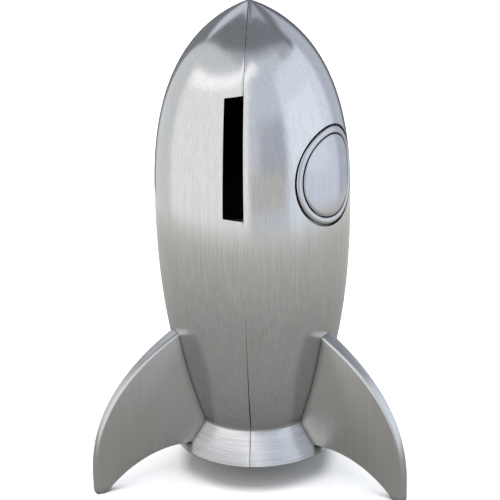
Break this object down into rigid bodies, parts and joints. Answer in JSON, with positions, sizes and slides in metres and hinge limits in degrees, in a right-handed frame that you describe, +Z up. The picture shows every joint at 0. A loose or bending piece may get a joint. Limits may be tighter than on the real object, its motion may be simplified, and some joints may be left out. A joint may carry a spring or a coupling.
{
  "type": "rocket money box",
  "caption": "Rocket-shaped metal money box on three fins, with a coin slot beside its seam, a round porthole and a soft stopper underneath.",
  "frame": {"origin": "centre of the footprint's bounding box, on the plane that the three fin feet stand on; the rocket's own axis is upright at x = 0, y = -12.0 mm", "axes": "+Z up along the rocket's axis to the nose; -Y to the front, where the seam and the coin slot are; +X to the side with the porthole"},
  "size_m": [0.091, 0.08, 0.1431],
  "materials": {
    "hull_metal": "satin pewter-coloured plating with fine upright brushing",
    "porthole_metal": "the same plating, smoother and slightly bluer",
    "fin_metal": "satin pewter-coloured plating",
    "screw_steel": "plain steel",
    "stopper_plastic": "soft black plastic"
  },
  "bodies": {
    "rocket": {"left_shell": "hull_metal", "right_shell": "hull_metal", "front_dowel_1": "screw_steel", "front_dowel_2": "screw_steel", "rear_dowel_1": "screw_steel", "rear_dowel_2": "screw_steel", "porthole_ring": "porthole_metal", "porthole_pane": "porthole_metal", "left_fin": "fin_metal", "left_fin_screw_1": "screw_steel", "left_fin_screw_2": "screw_steel", "right_fin": "fin_metal", "right_fin_screw_1": "screw_steel", "right_fin_screw_2": "screw_steel", "rear_fin": "fin_metal", "rear_fin_screw_1": "screw_steel", "rear_fin_screw_2": "screw_steel", "base_plate": "hull_metal", "base_screw_1": "screw_steel", "base_screw_2": "screw_steel", "base_screw_3": "screw_steel", "base_screw_4": "screw_steel"},
    "stopper": {"stopper": "stopper_plastic"}
  },
  "joints": [
    {"name": "stopper_pull", "type": "slide", "parent": "rocket", "child": "stopper", "axis": [0, 0, -1], "range_m": [0, 0.03]}
  ]
}
